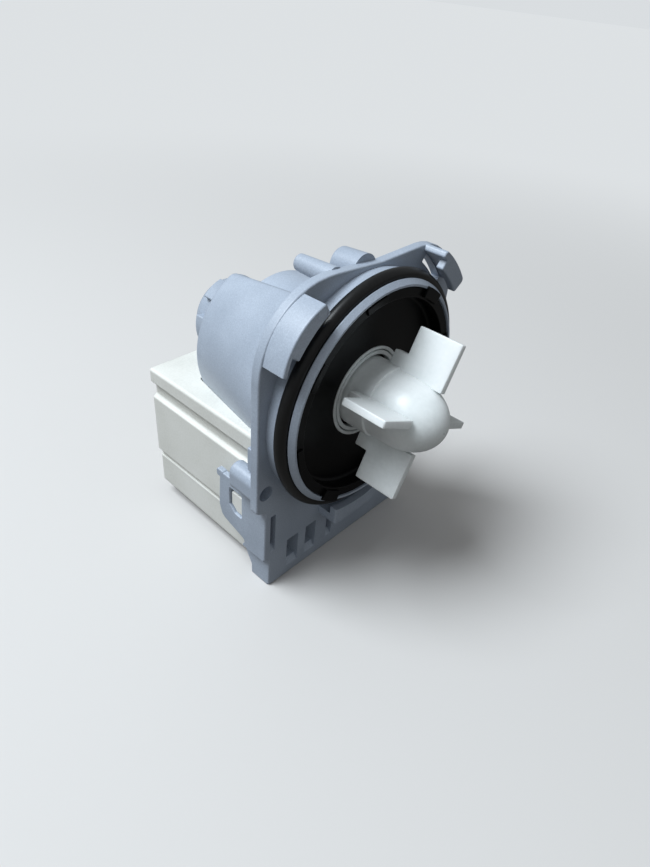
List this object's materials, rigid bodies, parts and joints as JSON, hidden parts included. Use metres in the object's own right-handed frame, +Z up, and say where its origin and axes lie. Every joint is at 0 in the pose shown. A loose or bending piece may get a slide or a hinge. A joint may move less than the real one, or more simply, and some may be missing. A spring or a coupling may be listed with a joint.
{
  "type": "washing machine drain pump",
  "caption": "Synchronous drain pump motor with bayonet mounting flange, round rubber seal, bladed impeller on a lost-motion clutch and a white coil case behind.",
  "frame": {"origin": "on the shaft's axis, in the plane of the mounting flange's front face", "axes": "+Y along the shaft from the impeller towards the motor, +X to the right as seen from the impeller, +Z up, away from the coil case"},
  "size_m": [0.068, 0.0792, 0.0869],
  "materials": {
    "grey_plastic": "satin",
    "black_plastic": "satin",
    "black_rubber": "matte",
    "ring_plastic": "satin",
    "impeller_plastic": "satin",
    "case_plastic": "satin",
    "bobbin_plastic": "matte",
    "copper_wire": "lacquered",
    "lamination_steel": "punched sheet",
    "shaft_steel": "ground",
    "ferrite": "matte",
    "carrier_plastic": "matte",
    "bearing_bronze": "sintered",
    "washer_plastic": "matte",
    "dog_plastic": "matte",
    "tinned_brass": "tinned",
    "fuse_body": "satin"
  },
  "bodies": {
    "stator": {"housing": "grey_plastic", "motor_shell": "grey_plastic", "rear_boss": "grey_plastic", "pump_cover": "black_plastic", "flange_seal": "black_rubber", "seal_collar": "ring_plastic", "wear_ring": "ring_plastic", "front_bearing": "bearing_bronze", "front_bearing_mount": "black_rubber", "rear_bearing": "bearing_bronze", "rear_bearing_mount": "black_rubber", "pole_left": "lamination_steel", "pole_right": "lamination_steel", "yoke": "lamination_steel", "bobbin_left": "bobbin_plastic", "bobbin_right": "bobbin_plastic", "winding_left": "copper_wire", "winding_right": "copper_wire", "coil_case": "case_plastic", "terminal_left": "tinned_brass", "terminal_right": "tinned_brass", "thermal_fuse": "fuse_body"},
    "rotor": {"rotor_shaft": "shaft_steel", "rotor_magnet": "ferrite", "magnet_carrier": "carrier_plastic", "front_washer": "washer_plastic", "rear_washer": "washer_plastic", "drive_dog": "dog_plastic"},
    "impeller": {"impeller": "impeller_plastic", "impeller_plug": "impeller_plastic", "hub_bumper": "black_rubber"}
  },
  "joints": [
    {"name": "rotor_spin", "type": "hinge", "parent": "stator", "child": "rotor", "pos_m": [0, 0, 0], "axis": [0, 1, 0], "continuous": true},
    {"name": "impeller_clutch", "type": "hinge", "parent": "rotor", "child": "impeller", "pos_m": [0, 0, 0], "axis": [0, 1, 0], "range_deg": [-126, 126]}
  ]
}
